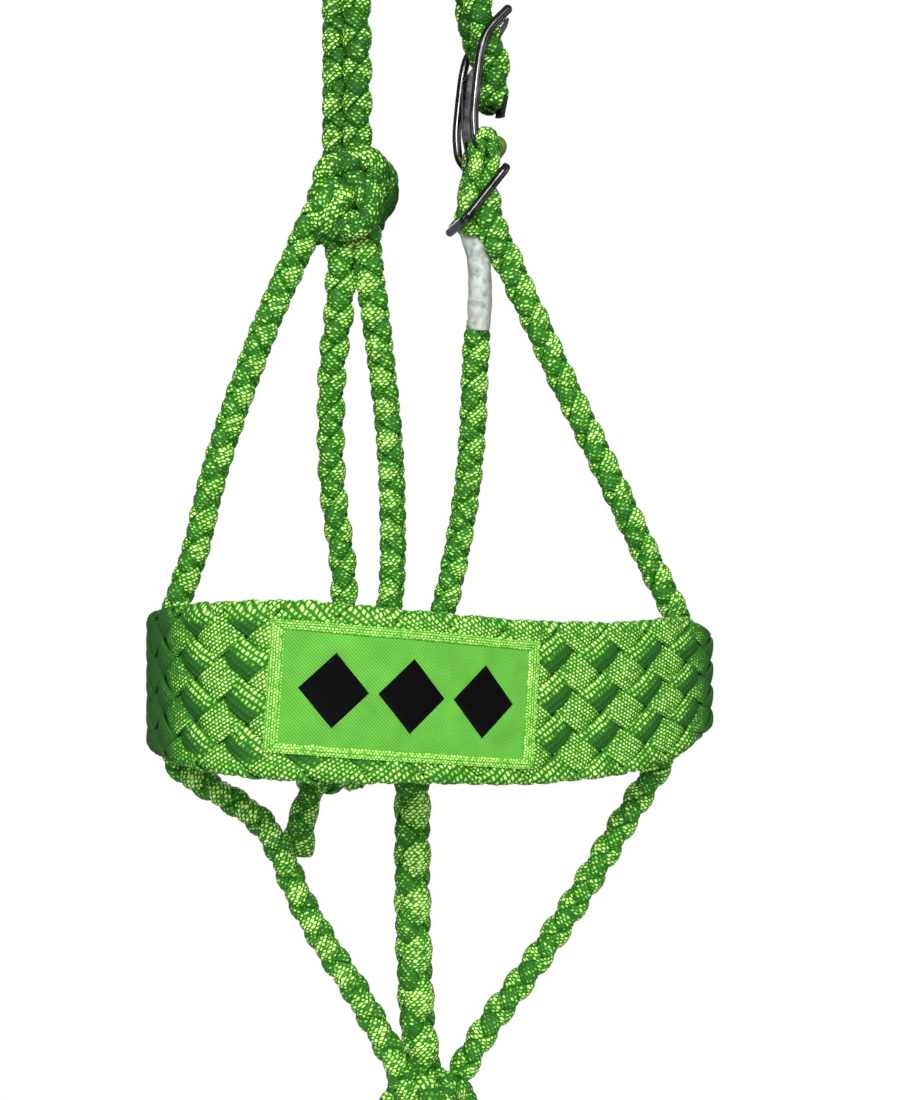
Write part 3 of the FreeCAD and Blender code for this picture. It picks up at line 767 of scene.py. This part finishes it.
class Band:
    """The noseband's shape: s runs along it and q round its flattened section, in metres."""

    def __init__(self):
        plan = smooth_line([(x, y, 0) for x, y in NOSEBAND_PLAN])
        self.line = Line(plan, 0.001)
        self.length = self.line.length
        shape = np.array(NOSEBAND_SHAPE)
        share = np.linspace(0, 1, 200)
        middle = np.interp(share, shape[:, 0], shape[:, 1])
        half = np.interp(share, shape[:, 0], shape[:, 2])
        self.share = share
        self.middle = softened(middle) * MM
        self.half = softened(half) * MM
        self.radius = EDGE_RADIUS * MM
        self.flat = 2 * (HALF_HEIGHT * MM - self.radius)
        self.around = 2 * self.flat + 2 * math.pi * self.radius

    def section(self, q):
        """Height, offset to the front, and outward direction (front, up) at q."""
        q = np.mod(q, self.around)
        bend = math.pi * self.radius
        half_flat = self.flat / 2
        up = np.zeros_like(q)
        out = np.zeros_like(q)
        n_front = np.zeros_like(q)
        n_up = np.zeros_like(q)
        front = q < self.flat
        up[front] = q[front] - half_flat
        out[front] = self.radius
        n_front[front] = 1
        top = (q >= self.flat) & (q < self.flat + bend)
        a = (q[top] - self.flat) / self.radius
        up[top] = half_flat + self.radius * np.sin(a)
        out[top] = self.radius * np.cos(a)
        n_front[top] = np.cos(a)
        n_up[top] = np.sin(a)
        back = (q >= self.flat + bend) & (q < 2 * self.flat + bend)
        up[back] = half_flat - (q[back] - self.flat - bend)
        out[back] = -self.radius
        n_front[back] = -1
        low = q >= 2 * self.flat + bend
        a = (q[low] - 2 * self.flat - bend) / self.radius
        up[low] = -half_flat - self.radius * np.sin(a)
        out[low] = -self.radius * np.cos(a)
        n_front[low] = -np.cos(a)
        n_up[low] = -np.sin(a)
        return up, out, n_front, n_up

    def at(self, s, up, out, tall=None):
        """The point at length s, height up (of HALF_HEIGHT) and out in front of the middle surface.

        The height is stretched to the band's own there, unless tall says how much.
        """
        inside = np.clip(s, 0, self.length)
        share = inside / self.length
        middle = np.interp(share, self.share, self.middle)
        if tall is None:
            tall = np.interp(share, self.share, self.half) / (HALF_HEIGHT * MM)
        place = self.line.place(s)
        ahead = self.line.read(self.line.tangents, inside)
        front = np.stack([ahead[..., 1], -ahead[..., 0], np.zeros_like(s)], -1)
        point = place + front * out[..., None]
        point[..., 2] = middle + up * tall
        return point

    def facing(self, s):
        """How squarely the band faces forwards at s: 1 at the front, 0.12 at its ends; it scales
        the painted light, so the ends get painted shade.
        """
        ahead = self.line.read(self.line.tangents, np.clip(s, 0, self.length))
        return 0.12 + 0.88 * smooth_step(ahead[..., 0], 0.42, 0.9)

    def tape_point(self, s, q, lift):
        """The point at length s and q round the section, lifted off the surface."""
        up, out, n_front, n_up = self.section(q)
        return self.at(s, up + n_up * lift, out + n_front * lift)


# a tape's section: places across it (of its half width), and how far each stands off the middle
TAPE_ACROSS = np.array([-1, -0.96, -0.8, -0.5, -0.15, 0.15, 0.5, 0.8, 0.96, 1, 0.96, 0.5, 0, -0.5,
                        -0.96])
TAPE_FACE = np.array([0.0, 0.65, 0.95, 1.15, 1.25, 1.25, 1.15, 0.95, 0.65, 0.0, -0.5, -0.6, -0.6,
                      -0.6, -0.5]) * MM
TAPE_OUTER = np.arange(len(TAPE_ACROSS)) < 10
TAPE_WEAVE = 1.1 * MM       # how far a tape rises over the next, and sinks under it
TAPE_TILT = 0.085           # slope across the tapes that catch the light from above


def make_noseband(band):
    """A plait of flat tapes on the slant, each over one and under the next, round both edges."""
    pitch = band.around / TAPES_EACH_WAY
    stretch = math.hypot(1, CLIMB)
    across = TAPE_ACROSS[None, :] * pitch / stretch * 0.49
    count = int(band.length / MM * 1.1)
    s0 = np.linspace(0, band.length, count)[:, None]
    parts = []
    for way in (1, -1):
        over = way * np.cos(2 * math.pi * CLIMB * s0 / pitch)
        over = np.tanh(1.6 * over) / math.tanh(1.6)
        for number in range(TAPES_EACH_WAY):
            s = np.clip(s0 - way * CLIMB * across / stretch, 0, band.length)
            q = number * pitch + way * CLIMB * s0 + across / stretch
            right = smooth_step(s / band.length, 0.42, 0.52)
            turned = right if way == 1 else 1 - right
            lift = TAPE_WEAVE * over + TAPE_FACE + TAPE_TILT * turned * across
            points = band.tape_point(s, q, lift).reshape(-1, 3)
            # painted light: on each half the tapes of one way are lit on one side and shaded on the
            # other, and the other way is lit all over
            side_light = smooth_step(TAPE_ACROSS[None, :] + 0 * s, -0.45, 0.6)
            painted_light = (1 - turned) * 0.95 + turned * (0.05 + 0.9 * side_light)
            # painted shade where a tape dips under the next
            painted_light = painted_light * (0.7 + 0.3 * over)
            # near the top and bottom rims the painted light evens out to one level, the ends that
            # face away get painted shade, and the hidden inner side is dark
            rim = smooth_step(np.abs(band.section(q)[0]), 29 * MM, 34 * MM)
            painted_light = (painted_light + rim * (0.8 - painted_light)) * band.facing(s)
            painted_light = np.where(TAPE_OUTER[None, :], painted_light, 0.05)
            teeth = 1 - 0.45 * turned
            weave = weave_rows(across / MM * teeth + 17.3 * number, s0 * stretch / MM, painted_light)
            parts.append((points, tube_faces(count, len(TAPE_ACROSS)), weave))
    noseband = add_mesh("noseband_plait", parts, "webbing")
    settle(noseband, "webbing", "headstall",
           "noseband", "noseband_end_left", "noseband_end_right")


# ---------------------------------------------------------------- patch

PANEL_S = 0.5           # share of the band's length at the patch's middle
PANEL_LEAN = 0.027      # fall of its long sides, and slant of its short ones
PANEL_SLANT = 0.065
PANEL_W = 117.0         # mm, hem included
PANEL_T = 55.5
HEM_SIDE = 6.0          # mm, the hem's width at the short sides and at the long ones
HEM_EDGE = 4.4

# For the hem's long and short sides, in mm: half its length, the hem that crosses its ends, its
# distance from the middle, its own width; and how many points go along it.
LONG_SIDE = (PANEL_W / 2, HEM_SIDE, PANEL_T / 2, HEM_EDGE, 90)
SHORT_SIDE = (PANEL_T / 2, HEM_EDGE, PANEL_W / 2, HEM_SIDE, 46)
HEM_SIDES = (LONG_SIDE, SHORT_SIDE, LONG_SIDE, SHORT_SIDE)
STITCH_ROWS = (0.26, 0.74)      # shares of the hem's width


def panel_grid(band, across, upright, out):
    """Points in front of the band for panel coordinates in mm, leaning as the patch does."""
    s = PANEL_S * band.length + (across + PANEL_SLANT * upright) * MM
    up = (upright - PANEL_LEAN * across + 0.6) * MM
    return band.at(s, up, out * MM + np.zeros_like(s), tall=1.0)


def closed_sheet(band, across, upright, low, high):
    """A closed sheet from grids of panel coordinates and its two faces' distances."""
    rows, cols = across.shape
    front = panel_grid(band, across, upright, high).reshape(-1, 3)
    back = panel_grid(band, across, upright, low).reshape(-1, 3)
    points = np.concatenate([front, back])
    faces = []
    n = rows * cols
    for i in range(rows - 1):
        for k in range(cols - 1):
            a = i * cols + k
            b = a + 1
            c = b + cols
            d = a + cols
            faces.append((a, b, c, d))
            faces.append((d + n, c + n, b + n, a + n))
    rim = ([(0, k) for k in range(cols)] + [(i, cols - 1) for i in range(1, rows)]
           + [(rows - 1, k) for k in range(cols - 2, -1, -1)]
           + [(i, 0) for i in range(rows - 2, 0, -1)])
    rim = [i * cols + k for i, k in rim]
    for a, b in zip(rim, rim[1:] + rim[:1]):
        faces.append((b, a, a + n, b + n))
    weave = weave_rows(across, upright)
    return points, faces, np.concatenate([weave, weave])


def make_patch(band):
    half_w = PANEL_W / 2 - HEM_SIDE
    half_t = PANEL_T / 2 - HEM_EDGE
    across, upright = np.meshgrid(np.linspace(-half_w - 1, half_w + 1, 90),
                                  np.linspace(-half_t - 1, half_t + 1, 44))
    pillow = 0.45 * (1 - (across / half_w) ** 4) * (1 - (upright / half_t) ** 4)
    ripple = 0.12 * np.sin(across / 7.3 + upright / 11.0) + 0.1 * np.sin(across / 17 - 1)
    part = closed_sheet(band, across, upright, 4.2 + 0 * across, 5.15 + pillow + ripple)
    panel = add_mesh("patch_panel_cloth", [part], "panel")
    settle(panel, "panel_fabric", "headstall", "patch_panel")
    make_hem(band)
    make_stitches(band)
    make_motif(band)


def hem_spot(side, run, rise):
    """Panel coordinates of places run along one side of the patch and rise out from its middle."""
    return ((run, rise), (rise, -run), (-run, -rise), (-rise, run))[side]


def make_hem(band):
    """A rounded folded tape along each side, mitred at the corners, sunk under its stitches."""
    u = np.linspace(0, 1, 9)[:, None]
    profile = 4.9 + 1.5 * np.sqrt(np.clip(1 - (2 * u - 1) ** 4, 0, 1))
    for row in STITCH_ROWS:
        profile = profile - 0.55 * np.exp(-((u - row) / 0.1) ** 2)
    parts = []
    for side, (half_length, corner, rise, width, count) in enumerate(HEM_SIDES):
        run = np.linspace(-1, 1, count)[None, :] * (half_length - u * corner)
        across, upright = hem_spot(side, run, rise - u * width + 0 * run)
        high = profile + 0.12 * np.sin(run * 2.1 + side)
        points, faces, _ = closed_sheet(band, across, upright, 4.2 + 0 * across, high)
        flat = weave_rows(u * width + 30 * side, run)
        parts.append((points, faces, np.concatenate([flat, flat])))
    hem = add_mesh("patch_hem_tape", parts, "hem")
    settle(hem, "webbing", "headstall", "patch_hem")


def make_stitches(band):
    """Two rows of lock stitches round the hem, each stitch a short sunk thread."""
    length = 2.3
    thick = 0.34
    gap = 0.7
    along = np.linspace(-length / 2, length / 2, 6)[:, None]
    ring = np.linspace(0, 2 * math.pi, 6, endpoint=False)[None, :]
    fat = thick * np.sqrt(np.clip(1 - (along / (length / 2)) ** 4, 0.02, 1))
    out = 5.95 + fat * np.sin(ring)
    parts = []
    for row in STITCH_ROWS:
        for side, (half_length, corner, rise, width, _) in enumerate(HEM_SIDES):
            reach = half_length - corner * row
            for centre in np.arange(-reach + 1.5, reach - 1.0, length + gap):
                run = centre + along + 0 * ring
                apart = rise - width * row + fat * np.cos(ring)
                points = panel_grid(band, *hem_spot(side, run, apart), out).reshape(-1, 3)
                parts.append((points, tube_faces(6, 6), weave_rows(apart, run)))
    stitches = add_mesh("patch_stitches", parts, "thread")
    settle(stitches, "webbing", "headstall")


def make_motif(band):
    """Three raised satin-stitch diamonds."""
    parts = []
    half = 14.0
    u, v = np.meshgrid(np.linspace(-1, 1, 30), np.linspace(-1, 1, 30))
    for number in (-1, 0, 1):
        across = number * 32.0 + half * (u + v) / 2
        upright = half * (v - u) / 2 * 1.12
        edge = np.clip(1 - np.maximum(np.abs(u), np.abs(v)) ** 8, 0, 1)
        ridge = 0.12 * np.cos(across * 4.2)
        high = 5.75 + edge * (0.75 + ridge)
        parts.append(closed_sheet(band, across, upright, 5.0 + 0 * across, high))
    motif = add_mesh("patch_motif_thread", parts, "black")
    settle(motif, "black_thread", "headstall", "patch_motif")


# ---------------------------------------------------------------- splice tape and melted end

TAPE_ROUTE = [(26.3, 0.5, -288), (27.3, 1, -296), (30.5, 1.5, -306), (31.5, 3.5, -320),
              (31.1, 7, -331), (30.8, 8.7, -341)]


def make_splice_tape():
    """White tape wound round two ropes: an oval tube with wrap edges, lumps and drawn-in ends."""
    line = Line(smooth_line(TAPE_ROUTE), 0.0006)
    sides = 40
    count = len(line.at)
    a = np.linspace(0, 2 * math.pi, sides, endpoint=False)[None, :]
    s = line.at[:, None] / MM
    slant = s + 1.1 * np.sin(a + 0.6)
    wraps = 0.30 * np.abs(np.sin(math.pi * slant / 9.5)) ** 0.6
    lumps = 0.45 * np.sin(s / 5.2 + 1.4 * np.sin(a)) + 0.3 * np.sin(2 * a + s / 6.3)
    lumps = lumps + 0.8 * np.exp(-((s - 4.5) / 3.5) ** 2) + 0.35 * np.exp(-((s - 31) / 6) ** 2)
    wide = 4.9 + wraps + lumps + 0.8 * np.exp(-((s - 24) / 9) ** 2)
    deep = 7.4 + wraps + lumps * 0.8 - 1.5 * np.clip((s - 18) / 30, 0, 1)
    ends = np.minimum(s, s[-1] - s + 0.4)
    drawn_in = 0.75 + 0.25 * np.clip(ends / 1.2, 0.0, 1) ** 0.4
    wide = wide * drawn_in
    deep = deep * drawn_in
    across = np.cross(line.tangents, (0.0, 1.0, 0.0))
    across = across / np.linalg.norm(across, axis=1, keepdims=True)
    back = np.cross(across, line.tangents)
    points = (line.points[:, None, :]
              + across[:, None, :] * (np.cos(a) * wide * MM)[..., None]
              + back[:, None, :] * (np.sin(a) * deep * MM)[..., None]).reshape(-1, 3)
    weave = weave_rows(a * 6, s)
    tape = add_mesh("throat_splice_wrap", [(points, tube_faces(count, sides), weave)], "tape")
    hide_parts("throat_splice_tape")
    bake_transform(tape)


def make_melted_end():
    """The rope end's rounded, melted cap, beside the fold."""
    centre = np.array([40.2, 10.8, -255.8])
    outwards = np.array([math.cos(BUCKLE_TURN) * 0.9, math.sin(BUCKLE_TURN) * 0.9, -0.42])
    outwards = outwards / np.linalg.norm(outwards)
    side = np.cross(outwards, (0, 1, 0))
    side = side / np.linalg.norm(side)
    up = np.cross(outwards, side)
    rings = 18
    sides = 24
    points = []
    for i in range(rings):
        t = i / (rings - 1)
        radius = 5.3 * math.sqrt(max(0.0, 1 - (max(0.0, t - 0.35) / 0.66) ** 2.6)) + 0.05
        for k in range(sides):
            a = 2 * math.pi * k / sides
            lump = 1 + 0.05 * math.sin(3 * a + 4 * t) + 0.04 * math.sin(5 * a - 3 * t)
            points.append(centre + outwards * (t * 6.5 - 3.2)
                          + (side * math.cos(a) + up * math.sin(a)) * radius * lump)
    points = np.array(points) * MM
    weave = weave_rows(*points[:, [0, 2]].T / MM)
    nub = add_mesh("rope_end_melted", [(points, tube_faces(rings, sides), weave)], "melted")
    settle(nub, "melted_end", "crown", "rope_end_nub")


# ---------------------------------------------------------------- metal

def dress_metal():
    """The buckle, tongue, ring and crimp keep their own shape and get their plating; the tongue's
    is a darker copy, painted shade.
    """
    for node in ("buckle_frame", "buckle_tongue", "keeper_ring", "crown_tip_crimp"):
        mesh = bpy.data.objects[node].data
        mesh.materials.clear()
        mesh.materials.append(MATERIALS["dark_metal" if node == "buckle_tongue" else "metal"])
        mesh.polygons.foreach_set("material_index", [0] * len(mesh.polygons))


MATERIALS = {
    "rope": woven_tape("braided_rope_tape", DEEP_GREEN, pitch=1.6, rib=1.4, wander=1.9,
                       faint=0.55, floats=(0.25, 1.85), depth=0.0003),
    # a copy of the rope tape with a darker ground and duller floats: painted shade
    "shade_painted_rope": woven_tape("rope_tape_painted_shade", (0.009, 0.092, 0.004), pitch=1.6, rib=1.4,
                            wander=1.9, faint=0.5, floats=(0.2, 1.85), depth=0.0003),
    "webbing": woven_tape("plaited_webbing", (0.020, 0.150, 0.010), pitch=1.9, rib=1.6,
                          wander=1.4, faint=0.65, floats=(0.65, 1.5), depth=0.0004),
    "hem": woven_tape("hem_webbing", MID_GREEN, pitch=1.4, rib=1.1, wander=0.9,
                      faint=0.6, floats=(0.6, 1.5), depth=0.0002),
    "thread": satin_thread("stitch_thread", (0.20, 0.60, 0.06), (0.5, 0.92, 0.2), 0.3),
    "panel": twill("panel_twill"),
    "black": satin_thread("black_satin_stitch", (0.001, 0.001, 0.001), (0.003, 0.003, 0.004), 0.06),
    "tape": wrapped_tape("white_vinyl_tape"),
    "metal": black_nickel("polished_black_nickel", 0.035, 0.13),
    # the same plating made darker: painted shade on the tongue
    "dark_metal": black_nickel("black_nickel_painted_shade", 0.012, 0.05),
    "melted": melted_rope("melted_polyester"),
}

make_camera()
make_studio()
make_floor()
make_ropes()
make_knots()
noseband_shape = Band()
make_noseband(noseband_shape)
make_patch(noseband_shape)
make_splice_tape()
make_melted_end()
dress_metal()
